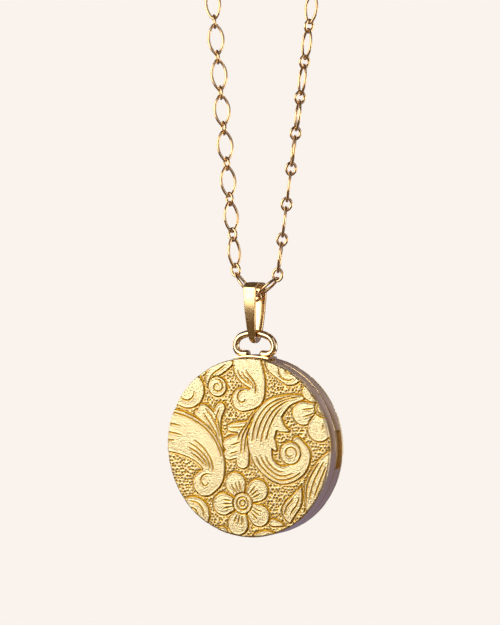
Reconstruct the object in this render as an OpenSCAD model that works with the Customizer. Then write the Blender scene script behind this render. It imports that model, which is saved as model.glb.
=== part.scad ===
// Round hinged locket with embossed covers, hung on a long-and-short link chain.
// +Z is up, -Y is the front of the locket and +X is the side that opens.
// The origin lies just under the clasp, where a hook or peg holds the chain.

/* [Case] */
// Diameter of the round case
case_d = 25; // [20:0.5:34]
// Height of each polished rim band, from the seam to its cover plate
rim_h = 1.9; // [1.8:0.1:3.5]
// Wall of each rim band
rim_wall = 0.5; // [0.4:0.05:0.8]
// Thickness of each embossed cover plate
plate_t = 0.55; // [0.4:0.05:1]
// Gap between the two rims at the seam
seam_gap = 0.04; // [0.02:0.01:0.08]

/* [Inner bezel and nail notch] */
// Wall of the bezel that stands up inside the back rim
bezel_wall = 0.5; // [0.35:0.05:0.7]
// How far the bezel reaches past the seam into the lid
bezel_rise = 0.8; // [0.5:0.1:0.9]
// Radial play between the bezel and the lid's rim
bezel_play = 0.05; // [0.04:0.01:0.1]
// Height of the snap bead on the bezel
bead_h = 0.03; // [0.01:0.01:0.03]
// Length of the snap bead along the bezel
bead_l = 4; // [2:0.5:8]
// Length of the nail notch along the back rim
notch_l = 5.4; // [3:0.2:8]
// Rim left between the nail notch and the back plate
notch_left = 0.2; // [0.1:0.05:0.6]

/* [Picture frames] */
// Width of each frame ring's face
frame_w = 1.5; // [1:0.1:2.5]
// Thickness of each frame ring's face and of its side wall
frame_t = 0.35; // [0.25:0.05:0.4]
// Thickness of each window disc
window_t = 0.25; // [0.2:0.05:0.3]
// Thickness of each picture card
card_t = 0.25; // [0.2:0.05:0.3]
// Play around each frame ring, and around what it holds
frame_play = 0.05; // [0.02:0.01:0.1]

/* [Hinge] */
// Radius of the three hinge knuckles
knuckle_r = 0.6; // [0.5:0.05:0.8]
// Length of each knuckle
knuckle_l = 1.9; // [1.5:0.1:3]
// Gap between neighbouring knuckles
knuckle_gap = 0.06; // [0.04:0.01:0.15]
// Radius of the hinge pin
pin_r = 0.3; // [0.2:0.02:0.36]
// Running clearance of the pin in the middle knuckle
pin_play = 0.03; // [0.02:0.01:0.06]
// Thickness of each peened head on the pin
pin_head_t = 0.14; // [0.1:0.02:0.3]
// Distance of the hinge axis outside the rim
hinge_out = 0.15; // [0.1:0.05:0.4]
// Clearance of the relief cut in the bezel, behind thicker knuckles
knuckle_relief = 0.03; // [0.02:0.01:0.04]
// Depth of each knuckle's leaf, soldered through its rim
leaf_h = 1; // [0.6:0.1:1.5]

/* [Bow and saddle] */
// Diameter of the bow's wire
bow_wire = 0.9; // [0.7:0.05:1.2]
// Width of the bow over its wire
bow_w = 6.8; // [6:0.1:9]
// Height of the bow above the rim
bow_h = 3.85; // [3.3:0.05:5]
// Bend radius of the bow's upper corners
bow_corner_r = 1.3; // [1:0.1:1.4]
// Bend radius of the bow's lower corners
bow_foot_r = 0.74; // [0.6:0.02:0.9]
// Gap between the two ends of the bow's wire
bow_gap = 1.3; // [0.6:0.1:2]
// How deep the flattened feet are let into the saddle
foot_sink = 0.3; // [0.15:0.05:0.35]
// Thickness of the saddle strip
saddle_t = 0.35; // [0.25:0.05:0.6]
// Half the angle that the saddle covers on the rim
saddle_angle = 13.2; // [11:0.1:18]
// Width of the saddle strip across the rim
saddle_w = 3.7; // [2.5:0.1:3.8]
// Clearance of the saddle over the lid's rim
saddle_play = 0.08; // [0.06:0.01:0.2]

/* [Bail] */
// Height of the bail
bail_h = 8.5; // [7:0.1:12]
// Width of the bail at its top
bail_w = 1.96; // [1.6:0.02:2.2]
// Width of the bail beside the bow's wire
bail_low_w = 1.25; // [1:0.05:1.6]
// Width of the bail's rounded tip
bail_tip_w = 0.8; // [0.6:0.05:1]
// Depth of the bail, front leaf to back leaf, at its top
bail_d = 3.3; // [3.1:0.1:4.5]
// Thickness of the bail's strip
bail_t = 0.4; // [0.3:0.05:0.5]
// Thickness of the soldered ends under the bow's wire
bail_foot_t = 0.9; // [0.7:0.05:1.2]
// Radius of the bail's upper bends
bail_bend_r = 1; // [0.7:0.1:1.3]
// Clearance of the bow's wire in the bail's lower loop
bail_play = 0.16; // [0.12:0.01:0.24]
// Turn of the bail and chain about the vertical, against the locket
bail_yaw = 5; // [0:1:10]

/* [Chain] */
// Diameter of the chain's wire
chain_wire = 0.38; // [0.3:0.01:0.42]
// Outside length of a long oval link
long_l = 4.49; // [3.8:0.01:5.4]
// Outside width of a long oval link
long_w = 2.4; // [2:0.05:2.45]
// Outside length of a short oval link
short_l = 2.08; // [2:0.01:2.5]
// Outside width of a short oval link
short_w = 1.7; // [1.6:0.05:2]
// Bend radius at the ends of a short link
short_tip_r = 0.5; // [0.45:0.01:0.55]
// Further turn of the left strand's short links, above the first one
short_twist = 14; // [0:1:20]
// Play between two linked wires
link_play = 0.04; // [0.02:0.01:0.06]
// Number of pairs of long and short links in each strand
pairs = 8; // [6:1:10]
// Height of the bail's top above the middle of the link inside it
seat_drop = 1.95; // [1.8:0.05:2.4]
// Angle from vertical of the long link that enters the bail on the left
entry_left = 40; // [36:1:46]
// Angle from vertical of the long link that enters the bail on the right
entry_right = 50; // [46:1:54]
// Lean of the left strand from vertical
lean_left = 5.66; // [4:0.01:8]
// Lean of the right strand from vertical
lean_right = 8.2; // [6:0.01:10]
// Inward lean of the last short link of each strand
last_lean = 22; // [18:1:26]

/* [Clasp] */
// Middle radius of the clasp's ring
clasp_r = 2.4; // [2.3:0.1:3]
// Outside diameter of the clasp's tube
clasp_tube = 1.2; // [1:0.05:1.3]
// Wall of the clasp's tube
clasp_wall = 0.15; // [0.1:0.01:0.2]
// Clearance of the bolt in the clasp's tube
bolt_play = 0.05; // [0.03:0.01:0.08]
// Middle radius of the jump ring and of the end ring
jump_r = 1.3; // [1.1:0.05:1.5]
// Diameter of the wire of the jump ring, end ring and clasp loop
jump_wire = 0.4; // [0.3:0.02:0.44]
// Middle radius of the clasp's fixed loop
loop_r = 0.65; // [0.55:0.05:0.8]
// How far the clasp's loop is let into the ring's tube
loop_sink = 0.1; // [0.05:0.01:0.15]
// Diameter of the thumb lever's stem
lever_d = 0.4; // [0.3:0.02:0.5]
// Height of the thumb lever above the clasp's tube
lever_h = 0.55; // [0.4:0.05:1]

/* [Hidden] */
$fn = 64;
case_fn = 160;
cut = 1; // overshoot of a cutting shape past what it cuts
solder = 0.003; // how proud a solder line stands on a wire

// Case
case_r = case_d / 2;
rim_in = case_r - rim_wall;
case_t = 2 * (rim_h + plate_t);
seam = seam_gap / 2;
bezel_out = rim_in - bezel_play;
bezel_in = rim_in - bezel_wall;
bead_from = 0.3 * bezel_rise;
bead_to = 0.7 * bezel_rise;
stack_t = card_t + window_t + frame_t;
front_frame_r = rim_in - frame_play;
back_frame_r = bezel_in - frame_play;

// Hinge
hinge_x = -(case_r + hinge_out);
middle_top = knuckle_l / 2;
upper_z = middle_top + knuckle_gap;
swing_play = 0.1; // gap between a knuckle and the rim that turns past it

// Bow: two lower corners, two upper corners and a flat arch, all arcs
bow_half = (bow_w - bow_wire) / 2;
bow_top = case_r + bow_h - bow_wire / 2;
bow_low = case_r + saddle_t + bow_wire / 2 - foot_sink;
bow_side = bow_low + bow_foot_r;
bow_arch_r = side_r(bow_half, bow_top - bow_side, bow_corner_r);
bow_arch_a = side_a(bow_half, bow_arch_r, bow_corner_r);

// Bail
bail_low = bow_top - bow_wire / 2 - bail_play / 2 - bail_foot_t;
bail_top = bail_low + bail_h;
bail_eye_r = bow_wire / 2 + bail_play;
bail_eye_z = bail_low + bail_foot_t + bail_eye_r;
bail_low_r = 1;
bail_side = bail_d / 2 - bail_bend_r;

// Chain, as points (across, up) in its own plane
long_a = (long_l - chain_wire) / 2;
long_b = (long_w - chain_wire) / 2;
short_a = (short_l - chain_wire) / 2;
short_b = (short_w - chain_wire) / 2;
hold = chain_wire + link_play;
pitch = 2 * (long_a + short_a - hold);
seat = [0, bail_top - seat_drop];
// Turn of each long link about its own length, from the bail up to the clasp
left_turn = [100, 72, 58, 48, 40, 34, 31, 30, 12, 0];
right_turn = [90, 114, 118, 120, 126, 134, 143, 152, 166, 180];

// Clasp
bolt_r = clasp_tube / 2 - clasp_wall - bolt_play;
ring_hold = jump_wire + link_play;
end_reach = clasp_r - clasp_tube / 2 - jump_wire / 2 - link_play;
loop_at = 2 * jump_r - ring_hold + loop_r;
clasp_at = loop_at + loop_r + clasp_r + clasp_tube / 2 - loop_sink;
end_at = clasp_at + end_reach + jump_r;
clasp_span = end_at + jump_r;
reach = 2 * (long_a - hold);
chord = arch_foot(1) - arch_foot(-1);
along = chord / norm(chord);
across = [-along[1], along[0]];
inset = (norm(chord) - clasp_span) / 2;
rise = sqrt(reach * reach - inset * inset);
clasp_c = ring_start(-1) + clasp_at * along;
drop = clasp_c[1] - clasp_r - clasp_tube / 2;
gap_from = 20; // the clasp's mouth, as angles around its ring
gap_to = 75;
bolt_from = 8;
bolt_to = 112;
lever_at = 98;
open_turn = 58;
spring_end = 182;
spring_turns = 16;
spring_wire = 0.09;

// Radius and half angle of an oval's side arc, from its half length, half width and end radius
function side_r(a, b, tip) = ((a - tip) * (a - tip) + b * b - tip * tip) / (2 * (b - tip));
function side_a(a, r, tip) = asin((a - tip) / (r - tip));

// Directions and places in the chain's plane; side is -1 for the left strand, 1 for the right
function up(lean) = [sin(lean), cos(lean)];
function lean_of(d) = atan2(d[0], d[1]);
function entry_dir(side) = up(side < 0 ? -entry_left : entry_right);
function strand_dir(side) = up(side < 0 ? -lean_left : lean_right);
function last_dir(side) = up(-side * last_lean);
function entry_foot(side) = seat + [side * (short_a - hold), 0];
function first_short(side) =
    entry_foot(side) + 2 * long_a * entry_dir(side) + (short_a - hold) * strand_dir(side);
function short_at(side, i) = first_short(side) + i * pitch * strand_dir(side);
function last_foot(side) = first_short(side)
    + ((pairs - 0.5) * pitch + long_a - hold) * strand_dir(side);
function arch_foot(side) = last_foot(side) + 2 * short_a * last_dir(side);
function arch_dir(side) = (rise * across - side * inset * along) / reach;
function ring_start(side) = arch_foot(side) + reach * arch_dir(side);
function long_dir(side, i) =
    i == 0 ? entry_dir(side) : i > pairs ? arch_dir(side) : strand_dir(side);
function long_at(side, i) =
    i == 0 ? entry_foot(side) + long_a * entry_dir(side)
    : i > pairs ? arch_foot(side) + (long_a - hold) * arch_dir(side)
    : first_short(side) + (i - 0.5) * pitch * strand_dir(side);
// The visible strand is 8 pairs; turns beyond the list keep its last value
function turn(side, i) =
    let (list = side < 0 ? left_turn : right_turn, last = len(list) - 1)
    i > pairs ? list[last] : list[min(i, last - 1)];

// A disc or band about the case's own axis, between two depths
module disc_y(r, from, to) {
    translate([0, to, 0]) rotate([90, 0, 0]) cylinder(r = r, h = to - from, $fn = case_fn);
}
module band_y(r_out, r_in, from, to) {
    difference() {
        disc_y(r_out, from, to);
        disc_y(r_in, from - cut, to + cut);
    }
}

// Bent wire: an arc in the X-Z plane, angles from +X towards +Z
module wire_arc(r, from, to, wire) {
    rotate([90, 0, 0]) rotate([0, 0, from])
        rotate_extrude(angle = to - from) translate([r, 0]) circle(d = wire);
}

// Solder line where two arcs of wire meet, a hair prouder than the wire
module wire_joint(r, at, wire) {
    rotate([0, -at, 0]) translate([r, 0, 0])
        cylinder(d = wire + 2 * solder, h = 0.1 * wire, center = true);
}

// Oval link of four arcs, long along Z and wide along X
module link(a, b, tip) {
    r = side_r(a, b, tip);
    half = side_a(a, r, tip);
    for (s = [0, 180]) rotate([0, s, 0]) {
        translate([0, 0, a - tip]) wire_arc(tip, half, 180 - half, chain_wire);
        translate([b - r, 0, 0]) {
            wire_arc(r, -half, half, chain_wire);
            wire_joint(r, -half, chain_wire);
            wire_joint(r, half, chain_wire);
        }
    }
}

// Places: the case's centre hangs below the origin; the chain's plane is turned about Z
module in_case() {
    translate([0, 0, -drop]) children();
}
module in_chain(p, dir, turn = 0) {
    in_case() rotate([0, 0, -bail_yaw]) translate([p[0], 0, p[1]])
        rotate([0, lean_of(dir), 0]) rotate([0, 0, turn]) children();
}
// Places a clasp piece with its X axis along the line between the two strands
module in_clasp(distance) {
    in_chain(ring_start(-1) + distance * along, across) children();
}

// A knuckle tube with the leaf that is soldered through its rim; side is -1 front, 1 back
module knuckle_solid(low, side) {
    translate([hinge_x, 0, low]) cylinder(r = knuckle_r, h = knuckle_l);
    difference() {
        translate([hinge_x, side < 0 ? -leaf_h : seam, low])
            cube([2 * knuckle_r + rim_wall, leaf_h - seam, knuckle_l]);
        disc_y(rim_in, -2 * rim_h, 2 * rim_h);
    }
}
module knuckle(low, side, bore) {
    difference() {
        knuckle_solid(low, side);
        translate([hinge_x, 0, low - cut]) cylinder(r = bore, h = knuckle_l + 2 * cut);
    }
}
// Room in a rim for a knuckle that turns past it
module knuckle_room(low) {
    translate([hinge_x, 0, low - knuckle_gap])
        cylinder(r = knuckle_r + swing_play, h = knuckle_l + 2 * knuckle_gap);
}

module front_plate() {
    color("#e6c672") in_case() disc_y(case_r, -case_t / 2, -rim_h);
}

module front_rim() {
    color("#b8963f") in_case() difference() {
        band_y(case_r, rim_in, -rim_h, -seam);
        knuckle_room(-middle_top);
        knuckle_solid(upper_z, -1);
        knuckle_solid(-upper_z - knuckle_l, -1);
    }
}

// Frame ring: a face and a side wall around the window and the card
module photo_frame(r, side) {
    face = rim_h - stack_t;
    rotate([0, 0, side < 0 ? 180 : 0]) {
        band_y(r, r - frame_w, face, face + frame_t);
        band_y(r, r - frame_t, face + frame_t, rim_h);
    }
}
module photo_disc(r, side, from, to) {
    rotate([0, 0, side < 0 ? 180 : 0]) disc_y(r - frame_t - frame_play, from, to);
}

module front_photo_frame() {
    color("#d8b45a") in_case() photo_frame(front_frame_r, -1);
}
module front_window() {
    color("#dfe8ee") in_case()
        photo_disc(front_frame_r, -1, rim_h - card_t - window_t, rim_h - card_t);
}
module front_photo() {
    color("#f2ead8") in_case() photo_disc(front_frame_r, -1, rim_h - card_t, rim_h);
}
module front_knuckle_upper() {
    color("#c9a24a") in_case() knuckle(upper_z, -1, pin_r);
}
module front_knuckle_lower() {
    color("#c9a24a") in_case() knuckle(-upper_z - knuckle_l, -1, pin_r);
}

module hinge_pin() {
    half = upper_z + knuckle_l;
    color("#a8873a") in_case() translate([hinge_x, 0, 0]) {
        translate([0, 0, -half]) cylinder(r = pin_r, h = 2 * half);
        for (z = [half, -half - pin_head_t]) translate([0, 0, z])
            cylinder(r = (pin_r + knuckle_r) / 2, h = pin_head_t);
    }
}

module back_plate() {
    color("#e6c672") in_case() disc_y(case_r, rim_h, case_t / 2);
}

module back_rim() {
    color("#b8963f") in_case() difference() {
        band_y(case_r, rim_in, seam, rim_h);
        knuckle_solid(-middle_top, 1);
        knuckle_room(upper_z);
        knuckle_room(-upper_z - knuckle_l);
        translate([0, 0, -notch_l / 2]) cube([case_r + cut, rim_h - notch_left, notch_l]);
    }
}

// Bezel: soldered in the back rim, stepped in above the seam so that the lid slides over it
module inner_bezel() {
    reach = upper_z + knuckle_l + cut;
    color("#d2ac50") in_case() difference() {
        union() {
            band_y(rim_in, bezel_in, seam, rim_h);
            band_y(bezel_out, bezel_in, -bezel_rise, seam);
            intersection() {
                band_y(bezel_out + bead_h, bezel_in, -bead_to, -bead_from);
                translate([0, -bezel_rise, -bead_l / 2]) cube([case_r, bezel_rise, bead_l]);
            }
        }
        translate([hinge_x, 0, -reach]) cylinder(r = knuckle_r + knuckle_relief, h = 2 * reach);
    }
}
module back_photo_frame() {
    color("#d8b45a") in_case() photo_frame(back_frame_r, 1);
}
module back_window() {
    color("#dfe8ee") in_case()
        photo_disc(back_frame_r, 1, rim_h - card_t - window_t, rim_h - card_t);
}
module back_photo() {
    color("#f2ead8") in_case() photo_disc(back_frame_r, 1, rim_h - card_t, rim_h);
}
module back_knuckle() {
    color("#c9a24a") in_case() knuckle(-middle_top, 1, pin_r + pin_play);
}

// Saddle: a curved strip soldered on the back rim that overhangs the lid's rim with play
module saddle_sector(r_in, from, to) {
    translate([0, to, 0]) rotate([90, 0, 0]) rotate([0, 0, 90 - saddle_angle])
        rotate_extrude(angle = 2 * saddle_angle, $fn = case_fn)
            translate([r_in, 0]) square([case_r + saddle_t - r_in, to - from]);
}
module bow_saddle() {
    color("#d8b45a") in_case() {
        saddle_sector(case_r, seam, saddle_w / 2);
        saddle_sector(case_r + saddle_play, -saddle_w / 2, seam);
    }
}

// Bow: one bent wire, its flattened feet soldered on the saddle
module bow_half_wire() {
    foot_x = bow_half - bow_foot_r;
    translate([bow_half - bow_corner_r, 0, bow_side]) {
        wire_arc(bow_corner_r, 0, 90 - bow_arch_a, bow_wire);
        wire_joint(bow_corner_r, 90 - bow_arch_a, bow_wire);
    }
    translate([foot_x, 0, bow_side]) wire_arc(bow_foot_r, -90, 0, bow_wire);
    translate([bow_gap / 2, 0, bow_low]) rotate([0, 90, 0])
        cylinder(d = bow_wire, h = foot_x - bow_gap / 2);
}
module bow() {
    color("#d8b45a") in_case() difference() {
        union() {
            translate([0, 0, bow_top - bow_arch_r])
                wire_arc(bow_arch_r, 90 - bow_arch_a, 90 + bow_arch_a, bow_wire);
            for (side = [0, 1]) mirror([side, 0, 0]) bow_half_wire();
        }
        disc_y(case_r + saddle_t, -case_t, case_t);
    }
}

// Outline of the bail seen from its side: two upper bends and a round foot, joined by lines
function arc_points(c, r, from, to, steps = 12) =
    [for (i = [0:steps]) let (a = from + (to - from) * i / steps) c + r * [cos(a), sin(a)]];
function leaf_angle(c, r, foot, foot_r) =
    let (d = foot - c) atan2(d[1], d[0]) + acos((r - foot_r) / norm(d));
function bail_outline(bend_r, foot, foot_r) =
    let (c = [bail_side, bail_top - bail_bend_r], a = leaf_angle(c, bend_r, foot, foot_r))
    concat(arc_points(c, bend_r, 90, a), arc_points(foot, foot_r, a, -180 - a, 24),
        arc_points([-c[0], c[1]], bend_r, 180 - a, 90));
module bail_prism(points) {
    translate([-bail_w, 0, 0]) rotate([90, 0, 90])
        linear_extrude(height = 2 * bail_w) polygon(points);
}
module bail() {
    color("#cfae5c") in_case() rotate([0, 0, -bail_yaw]) intersection() {
        difference() {
            bail_prism(bail_outline(bail_bend_r, [0, bail_low + bail_low_r], bail_low_r));
            bail_prism(bail_outline(bail_bend_r - bail_t, [0, bail_eye_z], 0.97 * bail_eye_r));
            translate([-bail_w, 0, bail_eye_z]) rotate([0, 90, 0])
                cylinder(r = bail_eye_r, h = 2 * bail_w);
        }
        rotate([90, 0, 0]) linear_extrude(height = 2 * bail_d, center = true)
            polygon([
                [bail_w / 2, bail_top + cut], [bail_w / 2, bail_top - bail_bend_r],
                [bail_low_w / 2, bow_top], [bail_tip_w / 2, bail_low],
                [-bail_tip_w / 2, bail_low], [-bail_low_w / 2, bow_top],
                [-bail_w / 2, bail_top - bail_bend_r], [-bail_w / 2, bail_top + cut]
            ]);
    }
}

module long_link() {
    link(long_a, long_b, hold);
}
module short_link() {
    link(short_a, short_b, short_tip_r);
}

// The short link inside the bail lies level, with its width upright
module bail_link() {
    color("#c79a48") in_chain(seat, [1, 0]) short_link();
}
module strand_long(side) {
    for (i = [0:pairs + 1]) in_chain(long_at(side, i), long_dir(side, i), turn(side, i)) long_link();
}
module strand_short(side) {
    for (i = [0:pairs - 1])
        in_chain(short_at(side, i), strand_dir(side),
            90 + (turn(side, i) + turn(side, i + 1)) / 2 + (side < 0 && i > 0 ? short_twist : 0))
            short_link();
    in_chain(last_foot(side) + short_a * last_dir(side), last_dir(side),
        90 + (turn(side, pairs) + turn(side, pairs + 1)) / 2) short_link();
}
module left_long_links() {
    color("#cfa352") strand_long(-1);
}
module left_short_links() {
    color("#c79a48") strand_short(-1);
}
module right_long_links() {
    color("#cfa352") strand_long(1);
}
module right_short_links() {
    color("#c79a48") strand_short(1);
}

module jump_ring() {
    color("#cfa352") in_clasp(jump_r) rotate_extrude() translate([jump_r, 0]) circle(d = jump_wire);
}
module end_ring() {
    color("#cfa352") in_clasp(end_at) rotate_extrude() translate([jump_r, 0]) circle(d = jump_wire);
}

// Clasp: a hollow ring with a mouth, closed by a sprung bolt that a thumb lever draws back
module clasp_loop() {
    color("#cfa352") difference() {
        in_clasp(loop_at) wire_arc(loop_r, 0, 360, jump_wire);
        in_clasp(clasp_at) wire_arc(clasp_r, 0, 360, clasp_tube);
    }
}
module clasp_ring() {
    slot_play = 4; // extra angle at each end of the lever's slot
    slot_w = lever_d + 0.1;
    color("#d8b45a") in_clasp(clasp_at) difference() {
        wire_arc(clasp_r, gap_to, 360 + gap_from, clasp_tube);
        wire_arc(clasp_r, 0, 360, clasp_tube - 2 * clasp_wall);
        rotate([90, 0, 0]) rotate([0, 0, lever_at - 2 * slot_play])
            rotate_extrude(angle = open_turn + 4 * slot_play)
                translate([clasp_r + bolt_r / 2, -slot_w / 2]) square([clasp_tube, slot_w]);
    }
}
module clasp_bolt() {
    lever_top = clasp_r + clasp_tube / 2 + lever_h;
    color("#c9a24a") in_clasp(clasp_at) {
        wire_arc(clasp_r, bolt_from, bolt_to, 2 * bolt_r);
        rotate([0, -lever_at, 0]) {
            translate([clasp_r, 0, 0]) rotate([0, 90, 0])
                cylinder(d = lever_d, h = lever_top - clasp_r);
            translate([lever_top, 0, 0]) sphere(d = 1.5 * lever_d);
        }
    }
}

// Spring: a fine coil lying along the clasp's tube, from the bolt's tail to its stop
function spring_point(t, around, r) =
    let (a = bolt_to + 1 + (spring_end - bolt_to - 1) * t, c = 360 * spring_turns * t,
        out = clasp_r + (bolt_r - spring_wire) * cos(c) + r * cos(around) * cos(c))
    [out * cos(a), (bolt_r - spring_wire + r * cos(around)) * sin(c), out * sin(a)]
    + r * sin(around) * [-sin(a), 0, cos(a)];
module clasp_spring() {
    steps = 12 * spring_turns;
    sides = 6;
    points = [for (i = [0:steps], k = [0:sides - 1])
        spring_point(i / steps, 360 * k / sides, spring_wire / 2)];
    wall = [for (i = [0:steps - 1], k = [0:sides - 1])
        let (a = i * sides + k, b = i * sides + (k + 1) % sides) [a, a + sides, b + sides, b]];
    ends = [[for (k = [0:sides - 1]) k], [for (k = [sides - 1:-1:0]) steps * sides + k]];
    color("#b9bcc0") in_clasp(clasp_at) polyhedron(points, concat(wall, ends));
}

front_plate();
front_rim();
front_photo_frame();
front_window();
front_photo();
front_knuckle_upper();
front_knuckle_lower();
hinge_pin();
back_plate();
back_rim();
inner_bezel();
back_photo_frame();
back_window();
back_photo();
back_knuckle();
bow_saddle();
bow();
bail();
bail_link();
left_long_links();
left_short_links();
right_long_links();
right_short_links();
jump_ring();
clasp_loop();
clasp_ring();
clasp_bolt();
clasp_spring();
end_ring();
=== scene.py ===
import math

import bmesh
import bpy
import numpy as np
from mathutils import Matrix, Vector


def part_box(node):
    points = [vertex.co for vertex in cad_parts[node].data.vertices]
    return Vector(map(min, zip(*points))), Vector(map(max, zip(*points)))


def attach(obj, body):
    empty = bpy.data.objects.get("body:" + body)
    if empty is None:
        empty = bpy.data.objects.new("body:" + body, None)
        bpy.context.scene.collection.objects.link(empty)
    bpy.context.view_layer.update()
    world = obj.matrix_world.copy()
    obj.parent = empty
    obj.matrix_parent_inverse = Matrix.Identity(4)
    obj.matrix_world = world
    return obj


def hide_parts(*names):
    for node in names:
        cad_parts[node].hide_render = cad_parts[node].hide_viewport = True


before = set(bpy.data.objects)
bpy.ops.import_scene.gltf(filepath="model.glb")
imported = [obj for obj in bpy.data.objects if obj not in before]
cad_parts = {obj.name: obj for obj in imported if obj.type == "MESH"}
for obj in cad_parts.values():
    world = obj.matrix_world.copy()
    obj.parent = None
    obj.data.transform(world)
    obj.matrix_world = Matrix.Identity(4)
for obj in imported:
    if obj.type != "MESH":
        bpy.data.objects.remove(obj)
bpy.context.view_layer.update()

# ---------------------------------------------------------------- studio
# The locket hangs from a peg above the view, well clear of a pale table. A long lens looks slightly
# down at it, from the side that opens.
MM = 0.001                           # metres in a millimetre
disc_low, disc_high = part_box("back_plate")
DROP = -500 * (disc_low[2] + disc_high[2])     # mm from the hook down to the middle of the case
case_centre = Vector((0, 0, -DROP * MM))
AIM_ABOVE = 0.3                      # mm above the middle of the case
LENS_REACH = 0.6                     # metres from the case to the camera
VIEW_WIDTH = 0.08725                 # metres that the view takes in there
YAW, RISE, PITCH, PAN = [math.radians(a) for a in (25.2, 5.0, -3.24, 0.067)]
aim = case_centre + Vector((0, 0, AIM_ABOVE * MM))
camera_data = bpy.data.cameras.new("studio_camera")
camera_data.sensor_width = 36
camera_data.lens = camera_data.sensor_width * LENS_REACH / VIEW_WIDTH
camera = bpy.data.objects.new("studio_camera", camera_data)
camera.location = aim + LENS_REACH * Vector(
    (math.sin(YAW) * math.cos(RISE), -math.cos(YAW) * math.cos(RISE), math.sin(RISE)))
camera.rotation_euler = (math.radians(90) + PITCH, 0, YAW + PAN)
bpy.context.scene.collection.objects.link(camera)
bpy.context.scene.camera = camera
bpy.context.scene.view_settings.view_transform = "Standard"


def linear(code):
    """sRGB hex colour as linear RGBA."""
    parts = [int(code[i:i + 2], 16) / 255 for i in (1, 3, 5)]
    return [c / 12.92 if c <= 0.04045 else ((c + 0.055) / 1.055) ** 2.4 for c in parts] + [1]


def add_node(tree, kind, inputs=None, **settings):
    """Adds a shader node; an input is a value, or a socket to link from."""
    node = tree.nodes.new("ShaderNode" + kind)
    for key, value in settings.items():
        setattr(node, key, value)
    for key, value in (inputs or {}).items():
        if isinstance(value, bpy.types.NodeSocket):
            tree.links.new(value, node.inputs[key])
        else:
            node.inputs[key].default_value = value
    return node


# The camera sees plain paper. The metal mirrors a dim room: brown in front, to the sides and
# overhead, and pale grey-mauve behind.
BACKDROP = linear("#FAF3ED")
world = bpy.data.worlds.new("studio")
bpy.context.scene.world = world
world.use_nodes = True
sky = world.node_tree
sky.nodes.clear()
look = add_node(sky, "TexCoord")
axes = add_node(sky, "SeparateXYZ", {0: look.outputs["Generated"]})
behind = add_node(sky, "MapRange", {"Value": axes.outputs["Y"], "From Min": -0.3, "From Max": 0.7})
sideways = add_node(sky, "MapRange", {"Value": axes.outputs["X"], "From Min": -1, "From Max": 1})
wall = add_node(sky, "ValToRGB", {0: sideways.outputs[0]})
for position, tint in ((0.25, "#5E5252"), (0.50, "#A49CB0"), (0.64, "#B2AAC0"), (0.73, "#85756E"),
                       (0.80, "#6A5A50")):
    stop = wall.color_ramp.elements.new(position)
    stop.color = linear(tint)
wall.color_ramp.elements.remove(wall.color_ramp.elements[-1])
wall.color_ramp.elements.remove(wall.color_ramp.elements[0])
walls = add_node(sky, "Mix", {0: behind.outputs[0], 6: linear("#4C4032"), 7: wall.outputs[0]},
                 data_type="RGBA")
above = add_node(sky, "MapRange", {"Value": axes.outputs["Z"], "From Min": 0.25, "From Max": 0.75})
shell = add_node(sky, "Mix", {0: above.outputs[0], 6: walls.outputs[2], 7: linear("#5E5048")},
                 data_type="RGBA")
room = add_node(sky, "Background", {"Color": shell.outputs[2], "Strength": 1.0})
paper = add_node(sky, "Background", {"Color": BACKDROP, "Strength": 1.0})
seen = add_node(sky, "LightPath")
both = add_node(sky, "MixShader", {0: seen.outputs["Is Camera Ray"],
                                   1: room.outputs[0], 2: paper.outputs[0]})
add_node(sky, "OutputWorld", {"Surface": both.outputs[0]})

# The table shows the camera the same paper as the backdrop. Mirrored in the metal it is brown in
# front and grey-mauve behind.
TABLE_R, TABLE_Z = 0.6, -0.125       # metres
bpy.ops.mesh.primitive_circle_add(vertices=96, radius=TABLE_R, fill_type="NGON",
                                  location=(0, 0, TABLE_Z))
table = bpy.context.object
table.name = "table"
table_paint = bpy.data.materials.new("table_paper")
table_paint.use_nodes = True
paint = table_paint.node_tree
paint.nodes.clear()
straight = add_node(paint, "LightPath")
spot = add_node(paint, "TexCoord")
table_axes = add_node(paint, "SeparateXYZ", {0: spot.outputs["Object"]})
rear = add_node(paint, "MapRange", {"Value": table_axes.outputs["Y"],
                                    "From Min": -0.02, "From Max": 0.05})
bounce = add_node(paint, "Mix", {0: rear.outputs[0], 6: linear("#6E5A3C"),
                                 7: linear("#8880A0")}, data_type="RGBA")
paper_tone = add_node(paint, "Mix", {0: straight.outputs["Is Camera Ray"],
                                     6: bounce.outputs[2], 7: BACKDROP}, data_type="RGBA")
glow = add_node(paint, "Emission", {"Color": paper_tone.outputs[2], "Strength": 1.0})
add_node(paint, "OutputMaterial", {"Surface": glow.outputs[0]})
table.data.materials.append(table_paint)


def softbox(name, azimuth, height, distance, wide, tall, power, colour):
    """A soft light aimed at the case. Azimuth 0 is in front, 90 at the side that opens."""
    data = bpy.data.lights.new(name, "AREA")
    data.shape = "RECTANGLE"
    data.size, data.size_y = wide, tall
    data.energy, data.color = power, linear(colour)[:3]
    lamp = bpy.data.objects.new(name, data)
    a, e = math.radians(azimuth), math.radians(height)
    away = Vector((math.sin(a) * math.cos(e), -math.cos(a) * math.cos(e), math.sin(e)))
    lamp.location = case_centre + distance * away
    lamp.rotation_mode = "QUATERNION"
    lamp.rotation_quaternion = (-away).to_track_quat("-Z", "Y")
    lamp.visible_camera = False
    bpy.context.scene.collection.objects.link(lamp)


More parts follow.
